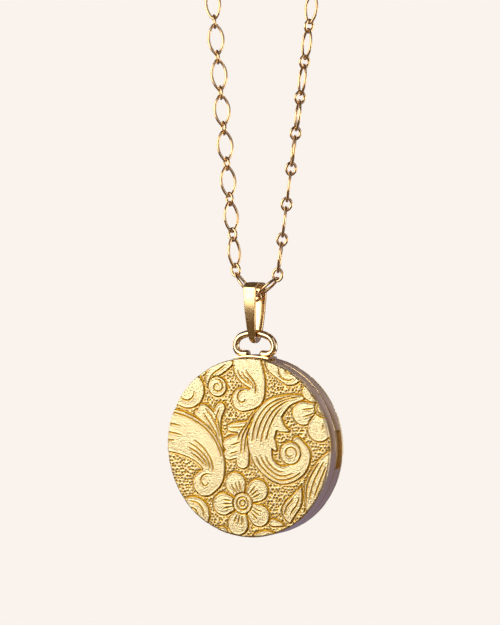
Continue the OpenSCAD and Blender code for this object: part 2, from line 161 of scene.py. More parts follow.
softbox("key_light", -30, 17.5, 0.20, 0.17, 0.14, 0.33, "#FFFAF2")
softbox("side_strip", 60, 22, 0.35, 0.08, 0.35, 0.22, "#F6F2FF")
softbox("side_fill", 105, 5, 0.35, 0.16, 0.16, 0.16, "#FFF4E8")
softbox("back_fill", 118, -8, 0.24, 0.10, 0.14, 0.22, "#FFF8EE")
softbox("far_side_fill", -110, 10, 0.30, 0.16, 0.20, 0.25, "#FFF8EE")
softbox("back_strip", 172, 38, 0.5, 0.30, 0.04, 0.22, "#FFF2DC")
softbox("low_strip", 178, -34, 0.45, 0.40, 0.05, 0.15, "#F4F0FF")

# ---------------------------------------------------------------- front and back covers
# Each cover is gilt brass sheet struck in one die: leaves, scrolls and flowers stand up from a
# pitted ground, and fine lines are cut into them. The raised metal is satin. The lines and pits
# are deep gold: that is painted shade.
CASE_R, RIM_H, PLATE_T = 12.5, 1.9, 0.55
GRID = 300                           # squares across a cover, about 0.08 mm each
# The drawing, in mm on the cover, x to the right and z up. Each motif is a few branches that run
# together, and a branch is a soft curve through (x, z, half width). Its cuts follow a branch:
# which branch, how far to its side as a share of the half width, and where they start and end.
FLOWER = (-0.8, -7.8)
EDGE_FLOWER = (11.5, 5.9)
MOTIFS = [
    # rounded leaf ends that run off the edge at the left
    ([[(-12.0, 8.7, 2.5), (-9.3, 7.8, 2.6)]], []),
    ([[(-10.4, -11.2, 2.6), (-8.4, -9.6, 2.5)]], []),
    ([[(-4.6, -12.4, 0.8), (-3.9, -11.9, 0.8)]], []),
    # small curl and the leaf that wraps it
    ([[(-2.6, 12.1, 0.7), (-4.2, 11.2, 1.0), (-5.7, 10.0, 0.8), (-6.2, 8.5, 0.35)]],
     [(0, 0.2, 0.2, 0.8)]),
    ([[(-4.7, 8.4, 1.45)]], []),
    # comma that hangs from the top
    ([[(-0.4, 12.8, 1.9), (0.1, 11.0, 2.2), (1.4, 9.0, 1.3), (1.1, 7.0, 1.3), (-0.8, 6.7, 1.7)]],
     [(0, -0.2, 0.25, 0.65), (0, -0.5, 0.25, 0.6), (0, -0.75, 0.2, 0.5)]),
    # split leaf, its stem running down between the two big scrolls
    ([[(-3.8, -0.6, 0.1), (-4.6, 1.6, 0.6), (-5.7, 3.6, 1.1), (-6.9, 5.1, 0.9)],
      [(-4.5, 1.6, 0.4), (-4.8, 3.9, 0.75), (-4.2, 5.5, 0.75)],
      [(-6.0, 3.5, 0.7), (-7.8, 4.6, 0.5)]],
     [(0, 0.3, 0.35, 0.9), (0, -0.4, 0.3, 0.95), (0, -0.9, 0.3, 0.7), (1, 0.1, 0.3, 0.9)]),
    # big comma at the left
    ([[(-13.0, 2.2, 3.1), (-10.2, 1.7, 3.0), (-7.3, 0.3, 2.6), (-5.5, -2.0, 1.95),
       (-5.4, -4.2, 1.7), (-6.6, -5.2, 1.9)]],
     [(0, 0.82, 0.05, 0.6), (0, -0.05, 0.35, 0.72), (0, -0.3, 0.3, 0.7), (0, -0.52, 0.3, 0.67),
      (0, -0.74, 0.36, 0.64), (0, 0.3, 0.0, 0.16), (0, -0.1, 0.0, 0.2), (0, -0.45, 0.0, 0.15)]),
    # leaf in the middle, with three lobes to the left
    ([[(1.1, 5.2, 0.1), (0.3, 3.4, 0.6), (-0.7, 1.4, 1.1), (-0.9, -0.6, 1.1), (-0.8, -2.0, 1.0)],
      [(0.0, 3.0, 0.7), (-1.5, 2.8, 0.8), (-2.8, 2.7, 0.5)],
      [(-1.0, 1.0, 1.0), (-2.8, 0.4, 1.05)],
      [(-1.4, -0.5, 0.9), (-2.9, -1.0, 0.85)]],
     [(0, 0.4, 0.1, 0.75), (0, -0.1, 0.15, 0.8), (0, -0.6, 0.2, 0.6), (1, 0.0, 0.2, 0.9),
      (2, 0.2, 0.1, 0.9), (3, 0.0, 0.2, 0.9)]),
    # great scroll round to the right, with two teeth inside it, and the boss it curls about
    ([[(8.3, 7.3, 0.4), (5.9, 6.7, 0.9), (3.7, 5.2, 1.7), (2.4, 3.0, 2.1), (1.9, 0.4, 1.9),
       (2.7, -2.1, 1.4), (5.0, -3.6, 1.3), (7.6, -2.7, 1.2), (8.8, -0.6, 0.8), (7.5, 1.2, 0.7)],
      [(3.8, 4.2, 1.4), (5.0, 3.1, 0.7), (6.1, 2.6, 0.25)],
      [(2.8, 1.4, 1.2), (3.7, 0.8, 0.65), (4.2, -0.1, 0.3)]],
     [(0, -0.6, 0.08, 0.42), (0, -0.25, 0.04, 0.4), (0, 0.1, 0.1, 0.42), (0, 0.45, 0.16, 0.4),
      (0, -0.55, 0.5, 0.78), (0, -0.1, 0.5, 0.74), (0, 0.35, 0.52, 0.68)]),
    ([[(6.5, -0.5, 1.6)]], []),
    # leaf end that comes in from the top right
    ([[(4.6, 12.0, 1.9), (6.4, 10.8, 1.95)]], []),
    # flower cut off by the right edge: three petals, then its eye
    ([[(*EDGE_FLOWER, 0.6), (9.4, 8.1, 1.15)]], [(0, 0.0, 0.4, 0.9)]),
    ([[(*EDGE_FLOWER, 0.6), (8.5, 5.1, 1.7)]], [(0, 0.3, 0.5, 1.0), (0, -0.3, 0.5, 1.0)]),
    ([[(*EDGE_FLOWER, 0.6), (10.9, 3.0, 1.8)]], [(0, 0.3, 0.6, 1.0)]),
    ([[(*EDGE_FLOWER, 1.3)]], []),
    # long blade down the right edge, and the leaf inside it
    ([[(12.7, -0.3, 0.5), (11.6, -2.6, 1.5), (10.4, -5.4, 1.8), (9.6, -8.2, 0.8)]],
     [(0, -0.75, 0.3, 0.9), (0, -0.35, 0.25, 0.85), (0, 0.1, 0.3, 0.8)]),
    ([[(8.1, -5.3, 0.2), (7.3, -7.2, 1.0), (6.3, -8.6, 1.1), (6.4, -10.0, 0.3)]],
     [(0, 0.4, 0.2, 0.8), (0, -0.5, 0.3, 0.8)]),
    # two small leaves at the foot
    ([[(1.2, -12.3, 0.4), (2.7, -12.0, 0.6), (4.0, -12.0, 0.3)]], []),
    ([[(3.9, -10.3, 0.6), (5.2, -10.5, 0.3)]], []),
]
# whole flower: petals evenly about its eye
PETALS, FIRST_PETAL = 5, 40          # how many, and the first one's angle in degrees
for k in range(PETALS):
    angle = math.radians(FIRST_PETAL + 360 // PETALS * k)
    ray = np.array([math.cos(angle), math.sin(angle)])
    MOTIFS.append(([[(*(FLOWER + 1.3 * ray), 0.8), (*(FLOWER + 3.0 * ray), 1.6)]],
                   [(0, side, 0.3, 0.95) for side in (-0.4, 0.0, 0.4)]))
MOTIFS.append(([[(*FLOWER, 1.5)]], []))

# Round and spiral cuts: middle, radius at the start and the end, angle at the start and the end.
CURLS = [(-4.7, 8.4, 1.0, 0.25, 100, -330), (-0.7, 6.9, 1.2, 0.35, 70, 330),
         (6.5, -0.5, 1.05, 0.4, -30, 300), (-6.4, -5.0, 1.2, 0.3, 60, 330),
         (-9.3, 7.6, 1.4, 1.0, -150, 0), (-8.6, -9.8, 2.0, 1.8, 100, 0),
         (-8.8, -10.0, 1.3, 1.1, 100, 0), (6.2, 11.0, 1.5, 1.4, 170, 300),
         (6.6, 11.4, 1.0, 0.8, 180, 280), (*FLOWER, 0.9, 0.9, 0, 360),
         (*FLOWER, 0.4, 0.4, 0, 360), (*EDGE_FLOWER, 0.9, 0.9, 0, 360)]


def smooth_path(points, steps=6):
    """A soft curve through a branch's points."""
    pts = np.array(points, dtype=float)
    before = np.vstack([pts[:1], pts[:-1]])
    path = []
    for i in range(len(pts) - 1):
        p, a, b, q = before[i], pts[i], pts[i + 1], pts[min(i + 2, len(pts) - 1)]
        for t in np.arange(steps) / steps:
            path.append(0.5 * (2 * a + (b - p) * t + (2 * p - 5 * a + 4 * b - q) * t * t
                               + (3 * a - p - 3 * b + q) * t ** 3))
    return np.array(path + [pts[-1], pts[-1]])


def near(spots, path, reach):
    """Which spots lie within reach of the path's box."""
    low, high = path[:, :2].min(0) - reach, path[:, :2].max(0) + reach
    return np.nonzero(((spots > low) & (spots < high)).all(1))[0]


def depth_in(spots, path):
    """How deep each spot lies in a branch: the half width there less the distance to the spine."""
    best = np.full(len(spots), -FAR)
    for a, b in zip(path[:-1], path[1:]):
        run = b[:2] - a[:2]
        t = np.clip((spots - a[:2]) @ run / max(run @ run, 1e-9), 0, 1)
        gap = np.linalg.norm(spots - a[:2] - t[:, None] * run, axis=1)
        best = np.maximum(best, a[2] + (b[2] - a[2]) * t - gap)
    return best


def cut_line(path, side, start, end):
    """A cut that follows a branch, off to one side of its spine."""
    path = path[:-1]
    run = np.gradient(path[:, :2], axis=0)
    run = run / np.linalg.norm(run, axis=1)[:, None]
    line = path[:, :2] + side * path[:, 2:] * np.stack([-run[:, 1], run[:, 0]], axis=1)
    last = len(line) - 1
    return line[round(start * last):round(end * last) + 1]


def distance_to(spots, path):
    """Distance from each spot to the path."""
    best = np.full(len(spots), 1e9)
    for a, b in zip(path[:-1], path[1:]):
        run = b - a
        t = np.clip((spots - a) @ run / max(run @ run, 1e-9), 0, 1)
        best = np.minimum(best, np.linalg.norm(spots - a - t[:, None] * run, axis=1))
    return best


def bell(x, width):
    """1 at the middle, falling softly to nothing."""
    return np.exp(-(x / width) ** 2)


def ease(x):
    """Smooth step from 0 to 1."""
    x = np.clip(x, 0, 1)
    return x * x * (3 - 2 * x)


# Heights and widths of the struck work in mm, and darknesses 0 to 1 of the shade painted into it.
RAISED = 0.14                        # height of a motif above the ground
PILLOW, PILLOW_IN = 0.06, 0.45       # further swell of its middle, reached this far in
LIP, LIP_IN, LIP_W = 0.05, 0.19, 0.08      # low ridge along the inside of its outline
SLOPE, FOOT = 0.13, -0.02            # run of its edge, and the height of the edge's foot
MOAT, MOAT_W, MOAT_FLOOR = 0.06, 0.12, -0.03   # sunk line round it, made once where two meet
OUTLINE_W, OUTLINE_DARK = 0.08, 0.95
CUT, CUT_W, CUT_DARK = 0.11, 0.07, 0.9     # a cut line
CUT_END, CUT_FADE = 0.6, 0.45        # length over which its end fades, and what is left there
BURR, BURR_OFF, BURR_W = 0.03, 0.19, 0.07  # metal thrown up beside a cut
# painted shade on the sunk ground between the motifs
GROUND_DARK = 0.06
PIT, PIT_W, PIT_TOP = 0.14, 0.13, 0.08     # a pit, and the stipple that stands between pits
PIT_X, PIT_Z, PIT_STRAY = 0.50, 0.43, 0.13     # pitch of the pits and how far each strays
PIT_CLEAR, PIT_RUN = 0.13, 0.07      # bare margin round a motif, and the run of its edge
FAR = 9.0                            # farther than anything that matters
MARGIN, CUT_REACH = 0.5, 0.4         # how far beyond a motif and a cut the work goes
PIT_ROWS = 32                        # rows of pits each way from the middle


def struck_relief(spots):
    """Height in mm, and darkness 0 to 1 of the shade painted into lines, pits and ground, at each
    spot.
    """
    height = np.zeros(len(spots))
    dark = np.full(len(spots), GROUND_DARK)
    covered = np.zeros(len(spots), dtype=bool)
    clear = np.full(len(spots), FAR)
    strokes = []
    for branches, cuts in MOTIFS:
        paths = [smooth_path(branch) for branch in branches]
        strokes += [cut_line(paths[i], side, start, end) for i, side, start, end in cuts]
        reach = max(path[:, 2].max() for path in paths) + MARGIN
        part = near(spots, np.vstack(paths), reach)
        signed = np.max([depth_in(spots[part], path) for path in paths], axis=0)
        depth, within = np.abs(signed), signed > 0
        body = (RAISED + PILLOW * (1 - np.exp(-depth / PILLOW_IN))
                + LIP * bell(depth - LIP_IN, LIP_W))
        edge = ease(depth / SLOPE)
        shade = OUTLINE_DARK * bell(depth, OUTLINE_W)
        inner, outer = part[within], part[~within]
        height[inner] = (edge * body + (1 - edge) * FOOT)[within]
        dark[inner] = shade[within]
        covered[inner] = True
        height[outer] -= MOAT * bell(depth[~within], MOAT_W) * (height[outer] > MOAT_FLOOR)
        dark[outer] = np.maximum(dark[outer], shade[~within])
        clear[part] = np.minimum(clear[part], depth)
    for x, z, first, last, start, end in CURLS:
        radii = np.linspace(first, last, 24)
        angles = np.radians(np.linspace(start, end, 24))
        strokes.append(np.stack([x + radii * np.cos(angles), z + radii * np.sin(angles)], axis=1))
    for path in strokes:
        part = near(spots, path, CUT_REACH)
        gap = distance_to(spots[part], path)
        ends = np.minimum(np.linalg.norm(spots[part] - path[0], axis=1),
                          np.linalg.norm(spots[part] - path[-1], axis=1))
        fade = CUT_FADE + (1 - CUT_FADE) * ease(ends / CUT_END)
        height[part] += fade * (BURR * bell(gap - BURR_OFF, BURR_W) - CUT * bell(gap, CUT_W))
        dark[part] = np.maximum(dark[part], CUT_DARK * fade * bell(gap, CUT_W))
    rows = np.arange(-PIT_ROWS, PIT_ROWS + 1)
    draw = np.random.default_rng(4)
    pits = np.array([(PIT_X * (i + 0.5 * (j % 2)), PIT_Z * j) for j in rows for i in rows])
    pits = pits + draw.uniform(-PIT_STRAY, PIT_STRAY, pits.shape)
    bare = np.nonzero(~covered)[0]
    nearest = np.full(len(bare), FAR)
    for pit in pits[np.linalg.norm(pits, axis=1) < CASE_R]:
        nearest = np.minimum(nearest, np.linalg.norm(spots[bare] - pit, axis=1))
    open_ground = ease((clear[bare] - PIT_CLEAR) / PIT_RUN)
    height[bare] += open_ground * (PIT_TOP - PIT * bell(nearest, PIT_W))
    # painted shade: each pit is darkened
    dark[bare] = np.maximum(dark[bare], open_ground * bell(nearest, PIT_W))
    return height, np.clip(dark, 0, 1)


# The cover is a square grid of points drawn out into a disc, so that no point is a pole.
ticks = np.linspace(-1, 1, GRID + 1)
across, upward = [axis.ravel() for axis in np.meshgrid(ticks, ticks)]
wide = np.abs(across) > np.abs(upward)
radius = np.where(wide, across, upward)
turn = np.where(wide, math.pi / 4 * upward / np.where(wide, across, 1),
                math.pi / 2 - math.pi / 4 * across / np.where(wide | (upward == 0), 1, upward))
spots = CASE_R * np.stack([radius * np.cos(turn), radius * np.sin(turn)], axis=1)
# the second result is painted shade for the lines, pits and ground
relief, hollow_shade_paint = struck_relief(spots)
EDGE_DROP, EDGE_RUN = 0.16, 0.22     # the cover turns down at its rim by this much, over this run
from_rim = CASE_R - np.linalg.norm(spots, axis=1)
edge_round = EDGE_DROP * (1 - ease(from_rim / EDGE_RUN)) ** 2
TOP = RIM_H + PLATE_T
peak = relief.max()


def piece_from(name, verts, faces):
    """A mesh piece from points in mm, in the case's own place below the hook."""
    mesh = bpy.data.meshes.new(name)
    moved = np.asarray(verts, dtype=float) - np.array([0, 0, DROP])
    mesh.from_pydata((moved * MM).tolist(), [], [list(map(int, f)) for f in faces])
    mesh.update()
    piece = bpy.data.objects.new(name, mesh)
    bpy.context.scene.collection.objects.link(piece)
    return piece


def cover(name, side, node, body):
    """Side is -1 for the front cover and 1 for the back one, struck in the same die."""
    out = side * (TOP - (peak - relief) - edge_round)
    points = np.stack([-side * spots[:, 0], out, spots[:, 1]], axis=1)
    row = GRID + 1
    ij = (np.arange(GRID)[:, None] * row + np.arange(GRID)[None, :]).ravel()
    quads = np.stack([ij, ij + 1, ij + row + 1, ij + row], axis=1)
    steps = range(GRID)
    loop = ([k for k in steps] + [k * row + GRID for k in steps]
            + [GRID * row + GRID - k for k in steps] + [(GRID - k) * row for k in steps])
    base = len(points)
    rim = points[loop].copy()
    rim[:, 1] = side * RIM_H
    points = np.vstack([points, rim])
    n = len(loop)
    wall = [[loop[k], base + k, base + (k + 1) % n, loop[(k + 1) % n]] for k in range(n)]
    faces = quads.tolist() + wall + [list(range(base + n - 1, base - 1, -1))]
    piece = piece_from(name, points, faces)
    work = bmesh.new()
    work.from_mesh(piece.data)
    bmesh.ops.recalc_face_normals(work, faces=work.faces)
    work.to_mesh(piece.data)
    work.free()
    # painted shade of the lines and pits, handed to the material as a point attribute
    shade = piece.data.attributes.new("hollow_shade_paint", "FLOAT", "POINT")
    shade.data.foreach_set("value", np.concatenate([hollow_shade_paint, np.zeros(n)]).astype(np.float32))
    piece.data.polygons.foreach_set("use_smooth", [True] * len(piece.data.polygons))
    piece.data.update()
    piece.data.materials.append(struck_gilt)
    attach(piece, body)
    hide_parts(node)


# Gilt brass, die-struck, satin: soft broad glints on the raised metal, and a deep gold painted as
# shade in the cut lines and pits.
# Its wear is in patches of about a millimetre, over a grain of about a quarter of one.
WEAR_PER_MM, GRAIN_PER_MM = 0.9, 4.2
struck_gilt = bpy.data.materials.new("struck_gilt_brass")
struck_gilt.use_nodes = True
tree = struck_gilt.node_tree
tree.nodes.clear()
place = add_node(tree, "TexCoord")
# painted shade of the hollows, read from the cover's mesh
line = add_node(tree, "Attribute", attribute_name="hollow_shade_paint")
mottle = add_node(tree, "TexNoise", {"Vector": place.outputs["Object"],
                                     "Scale": WEAR_PER_MM / MM, "Detail": 4.0,
                                     "Roughness": 0.6})
grain = add_node(tree, "TexNoise", {"Vector": place.outputs["Object"],
                                    "Scale": GRAIN_PER_MM / MM, "Detail": 3.0,
                                    "Roughness": 0.65})
metal = add_node(tree, "Mix", {0: mottle.outputs["Fac"], 6: linear("#F0E0B6"),
                               7: linear("#DECC9C")}, data_type="RGBA")
# painted shade: the deep gold that light takes on in the lines and pits
deep = add_node(tree, "Mix", {0: mottle.outputs["Fac"], 6: linear("#E4B41C"),
                              7: linear("#B8880C")}, data_type="RGBA")
cut_share = add_node(tree, "MapRange", {"Value": line.outputs["Fac"], "From Max": 0.55})
tone = add_node(tree, "Mix", {0: cut_share.outputs[0], 6: metal.outputs[2],
                              7: deep.outputs[2]}, data_type="RGBA")
rough = add_node(tree, "MapRange", {"Value": mottle.outputs["Fac"], "To Min": 0.27,
                                    "To Max": 0.38})
bumps = add_node(tree, "Bump", {"Height": grain.outputs["Fac"], "Strength": 0.8,
                                "Distance": 0.00012})
surface = add_node(tree, "BsdfPrincipled", {
    "Base Color": tone.outputs[2], "Metallic": 1.0, "Roughness": rough.outputs[0],
    "Normal": bumps.outputs[0]})
add_node(tree, "OutputMaterial", {"Surface": surface.outputs[0]})

cover("front_cover", -1, "front_plate", "lid")
cover("back_cover", 1, "back_plate", "case")


# ---------------------------------------------------------------- rims
# Each rim is a band of drawn gilt brass, soldered under its cover and buffed bright. The outer
# corner at the seam is rounded, and the back rim has a nail notch at the side that opens.
RIM_WALL, SEAM = 0.5, 0.02


def gilt(name, light, dark, rough_low, rough_high, wear_mm, line_mm=None):
    """Bare or gilt metal with faint wear, and fine lines up and down where line_mm is given."""
    material = bpy.data.materials.new(name)
    material.use_nodes = True
    tree = material.node_tree
    tree.nodes.clear()
    place = add_node(tree, "TexCoord")
    wear = add_node(tree, "TexNoise", {"Vector": place.outputs["Object"],
                                       "Scale": 1 / (wear_mm * MM), "Detail": 4.0,
                                       "Roughness": 0.6})
    tone = add_node(tree, "Mix", {0: wear.outputs["Fac"], 6: linear(light), 7: linear(dark)},
                    data_type="RGBA")
    rough = add_node(tree, "MapRange", {"Value": wear.outputs["Fac"], "From Min": 0.3,
                                        "From Max": 0.7, "To Min": rough_low,
                                        "To Max": rough_high})
    inputs = {"Base Color": tone.outputs[2], "Metallic": 1.0, "Roughness": rough.outputs[0]}
    if line_mm:
        along = add_node(tree, "Mapping", {"Vector": place.outputs["Object"],
                                           "Scale": (1, 1, 0.05)})
        lines = add_node(tree, "TexNoise", {"Vector": along.outputs[0],
                                            "Scale": 1 / (line_mm * MM), "Detail": 2.0})
        bumps = add_node(tree, "Bump", {"Height": lines.outputs["Fac"], "Strength": 0.3,
                                        "Distance": 0.00001})
        inputs["Normal"] = bumps.outputs[0]
    surface = add_node(tree, "BsdfPrincipled", inputs)
    add_node(tree, "OutputMaterial", {"Surface": surface.outputs[0]})
    return material


# Gilt brass, buffed on a wheel: sharp bright reflections, hardly worn.
polished_gilt = gilt("buffed_gilt_brass", "#EFD8B0", "#DDBE8C", 0.12, 0.22, 2.0)


def deselect():
    """Object mode with nothing selected, since an operator acts on all that is."""
    if bpy.context.object and bpy.context.object.mode != "OBJECT":
        bpy.ops.object.mode_set(mode="OBJECT")
    bpy.ops.object.select_all(action="DESELECT")


def spun_ring(name, profile, steps, turn=math.tau, start=0.0):
    """Spins an outline of (radius, depth) in mm about the case's own axis."""
    deselect()
    bpy.ops.mesh.primitive_circle_add(vertices=len(profile), radius=1)
    piece = bpy.context.object
    piece.name = name
    for vertex, (r, depth) in zip(piece.data.vertices, profile):
        vertex.co = (r * math.cos(start) * MM, depth * MM, (r * math.sin(start) - DROP) * MM)
    bpy.ops.object.mode_set(mode="EDIT")
    bpy.ops.mesh.select_all(action="SELECT")
    if turn < math.tau:
        bpy.ops.mesh.edge_face_add()
    bpy.ops.mesh.spin(steps=steps, angle=turn, center=case_centre, axis=(0, 1, 0))
    bpy.ops.mesh.select_all(action="SELECT")
    bpy.ops.mesh.remove_doubles(threshold=1e-7)
    bpy.ops.mesh.normals_make_consistent(inside=False)
    bpy.ops.object.mode_set(mode="OBJECT")
    piece.location = (0, 0, 0)
    return piece


def cutter_rod(radius, low, high):
    """A rod along the hinge, between two heights in mm, to cut a rim with."""
    deselect()
    bpy.ops.mesh.primitive_cylinder_add(vertices=48, radius=radius * MM, depth=(high - low) * MM,
                                        location=(HINGE_X * MM, 0, ((low + high) / 2 - DROP) * MM))
    return bpy.context.object


def cut(piece, tool):
    """Takes the tool's shape out of the piece, and the tool away."""
    deselect()
    bpy.context.view_layer.objects.active = piece
    piece.select_set(True)
    bite = piece.modifiers.new("cut", "BOOLEAN")
    bite.operation, bite.object, bite.solver = "DIFFERENCE", tool, "EXACT"
    bpy.ops.object.modifier_apply(modifier=bite.name)
    bpy.data.objects.remove(tool)


def finish_metal(piece, material, body, nodes, angle=35):
    """Fixes the piece's place in its mesh, smooths it, and hands it to the frame."""
    deselect()
    bpy.context.view_layer.objects.active = piece
    piece.select_set(True)
    bpy.ops.object.transform_apply(location=True, rotation=True, scale=True)
    bpy.ops.object.shade_smooth_by_angle(angle=math.radians(angle))
    piece.data.materials.clear()
    piece.data.materials.append(material)
    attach(piece, body)
    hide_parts(*nodes)


HINGE_X = -(CASE_R + 0.15)
SEAT_R, CLEAR_R = 0.61, 0.70         # a rim's own knuckle sits in it, the other rim's turns clear
MIDDLE_GAP, MIDDLE_SEAT = 1.01, 0.95       # half length cut for the middle knuckle, front and back
END_SEAT, END_GAP = 2.91, 2.97       # how far out the end knuckles' cuts go, front and back
CORNER_R, CORNER_IN = 0.14, 0.17     # rounding at the seam, and how far in its middle lies
CROWN, CROWN_HALF, CROWN_END = 0.035, 0.9, 0.06    # swell of the band, half its depth, flat end
COVER_IN = 0.14                      # step in where the cover sits on the rim
NOTCH_IN, NOTCH_DEEP, NOTCH_LONG = 4, 1.7, 5.4


def rim_profile(side):
    """Outline of a rim: square at its cover, rounded at the seam."""
    middle = (SEAM + RIM_H) / 2
    crown = [(CASE_R - CROWN * ((depth - middle) / CROWN_HALF) ** 2, depth)
             for depth in np.linspace(SEAM + CORNER_R, RIM_H - CROWN_END, 9)]
    corner = [(CASE_R - CORNER_IN + CORNER_R * math.sin(a),
               SEAM + CORNER_R - CORNER_R * math.cos(a))
              for a in np.radians(np.arange(0, 90, 15))]
    outline = ([(CASE_R - RIM_WALL, SEAM)] + corner + crown
               + [(CASE_R - COVER_IN, RIM_H), (CASE_R - RIM_WALL, RIM_H)])
    return [(r, side * depth) for r, depth in outline]


front_rim = spun_ring("front_rim_band", rim_profile(-1), 256)
cut(front_rim, cutter_rod(CLEAR_R, -MIDDLE_GAP, MIDDLE_GAP))
for low, high in ((MIDDLE_GAP, END_SEAT), (-END_SEAT, -MIDDLE_GAP)):
    cut(front_rim, cutter_rod(SEAT_R, low, high))
finish_metal(front_rim, polished_gilt, "lid", ["front_rim"])

back_rim = spun_ring("back_rim_band", rim_profile(1), 256)
for low, high in ((MIDDLE_SEAT, END_GAP), (-END_GAP, -MIDDLE_SEAT)):
    cut(back_rim, cutter_rod(CLEAR_R, low, high))
cut(back_rim, cutter_rod(SEAT_R, -MIDDLE_SEAT, MIDDLE_SEAT))
deselect()
bpy.ops.mesh.primitive_cube_add(size=1, location=(CASE_R * MM, NOTCH_DEEP / 2 * MM, -DROP * MM))
notch = bpy.context.object
notch.scale = (NOTCH_IN * MM, NOTCH_DEEP * MM, NOTCH_LONG * MM)
cut(back_rim, notch)
finish_metal(back_rim, polished_gilt, "case", ["back_rim"])


# ---------------------------------------------------------------- saddle
# The saddle is a strip of gilt brass, bent to the case and soldered on the back rim. It reaches
# over the lid's rim with play, so that the lid can open under it.
SADDLE_T, SADDLE_W, SADDLE_A, SADDLE_PLAY = 0.35, 3.0, math.radians(12.2), 0.08


def soften(piece, width, angle=30):
    """Rounds the edges sharper than the angle, by a width in mm."""
    soft = piece.modifiers.new("soft_edges", "BEVEL")
    soft.width, soft.segments, soft.limit_method = width * MM, 3, "ANGLE"
    soft.angle_limit = math.radians(angle)
    deselect()
    bpy.context.view_layer.objects.active = piece
    bpy.ops.object.modifier_apply(modifier=soft.name)


saddle = spun_ring("saddle_strip", [
    (CASE_R + SADDLE_PLAY, -SADDLE_W / 2), (CASE_R + SADDLE_T, -SADDLE_W / 2),
    (CASE_R + SADDLE_T, SADDLE_W / 2), (CASE_R, SADDLE_W / 2), (CASE_R, SEAM),
    (CASE_R + SADDLE_PLAY, SEAM)], 24, 2 * SADDLE_A, math.pi / 2 - SADDLE_A)
soften(saddle, 0.10)
finish_metal(saddle, polished_gilt, "case", ["bow_saddle"])


# ---------------------------------------------------------------- bow
# The bow is round gilt wire bent to a low arch. Its feet run in along the saddle, thin out and
# are sunk in the solder there.
BOW_R, BOW_HALF, BOW_TOP, BOW_LOW = 0.49, 2.95, 15.9, 13.0     # the wire, and where its middle runs
UPPER_R, LOWER_R = 1.55, 1.05        # bends at the shoulders and at the feet
FEET, FEET_R = [(1.5, 0, 12.97), (1.15, 0, 13.03), (0.85, 0, 13.12)], [0.48, 0.52, 0.50, 0.36]


def wire_through(name, points, radii, sides=8):
    """Round wire through points in mm with its own radius at each point, as a mesh."""
    curve = bpy.data.curves.new(name, "CURVE")
    curve.dimensions, curve.bevel_depth, curve.bevel_resolution = "3D", MM, sides
    curve.use_fill_caps = True
    spline = curve.splines.new("POLY")
    spline.points.add(len(points) - 1)
    for spot, (x, y, z), r in zip(spline.points, points, radii):
        spot.co = (x * MM, y * MM, (z - DROP) * MM, 1)
        spot.radius = r
    piece = bpy.data.objects.new(name, curve)
    bpy.context.scene.collection.objects.link(piece)
    deselect()
    bpy.context.view_layer.objects.active = piece
    piece.select_set(True)
    bpy.ops.object.convert(target="MESH")
    return bpy.context.object


def arc(cx, cz, r, start, end, steps):
    """Points on an arc in the plane of the case, in degrees from the side that opens."""
    return [(cx + r * math.cos(a), 0, cz + r * math.sin(a))
            for a in np.radians(np.linspace(start, end, steps))]


side_z = BOW_LOW + LOWER_R
arch_r = ((BOW_TOP - side_z) ** 2 + (BOW_HALF - UPPER_R) ** 2 - UPPER_R ** 2) / (
    2 * (BOW_TOP - side_z - UPPER_R))
meet = math.degrees(math.asin((arch_r - (BOW_TOP - side_z)) / (arch_r - UPPER_R)))
half = (arc(0, BOW_TOP - arch_r, arch_r, 90, meet, 10)
        + arc(BOW_HALF - UPPER_R, side_z, UPPER_R, meet, 0, 10)[1:]
        + arc(BOW_HALF - LOWER_R, side_z, LOWER_R, 0, -90, 8)[1:] + FEET)
thick = [BOW_R] * (len(half) - len(FEET_R)) + FEET_R
bow = wire_through("bow_wire", [(-x, y, z) for x, y, z in half[::-1]] + half[1:],
                   thick[::-1] + thick[1:])
finish_metal(bow, polished_gilt, "case", ["bow"], 60)


# ---------------------------------------------------------------- bail
# The bail is one tapered strip of gilt brass folded over the chain and soldered to itself under
# the bow. It is satin outside, with bright rounded edges, and hangs turned a little.
BAIL_YAW = math.radians(-5)
BAIL_T, BAIL_TOP, FOLD_R, FOLD_Y = 0.4, 22.97, 1.0, 0.65   # strip, top, and its two upper bends
FOOT_Z, FOOT_R, EYE_Z, EYE_R = 15.47, 1.0, 15.98, 0.61     # round foot, and the eye inside it
BULGE = 0.20                         # how far each leaf swells between its ends
STRIP_Z = [14.3, 14.47, 14.7, 15.2, 16.3, 22.0, 23.3]      # heights, and half the width at each
STRIP_HALF = [0.20, 0.30, 0.40, 0.47, 0.64, 1.0, 1.0]
# Satin gilt brass: a soft streak of light, broken by fine lines that run down the strip. Its gold
# is a deeper copy of the case's gold, painted as shade.
shaded_satin_gilt = gilt("satin_gilt_brass_painted_shade", "#E8CC98", "#D2B07C", 0.16, 0.24, 1.2, 0.06)


def bail_outline(bend_r, foot_z, foot_r, steps=14):
    """Side outline as (depth, height): two upper bends, the leaves and the round foot."""
    bend = np.array([FOLD_Y, BAIL_TOP - FOLD_R])
    foot = np.array([0.0, foot_z])
    run = foot - bend
    lean = math.atan2(run[1], run[0]) + math.acos((bend_r - foot_r) / np.linalg.norm(run))
    out = np.array([math.cos(lean), math.sin(lean)])
    points = [bend + bend_r * np.array([math.cos(a), math.sin(a)])
              for a in np.linspace(math.pi / 2, lean, steps)]
    leaf_top, leaf_foot = points[-1], foot + foot_r * out
    points += [leaf_top + (leaf_foot - leaf_top) * t + BULGE * math.sin(math.pi * t) * out
               for t in np.linspace(0, 1, 14)[1:-1]]
    points += [foot + foot_r * np.array([math.cos(a), math.sin(a)])
               for a in np.linspace(lean, -math.pi / 2, steps)]
    right = np.array(points)
    left = right[::-1] * np.array([-1, 1])
    return np.vstack([right, left[1:]])


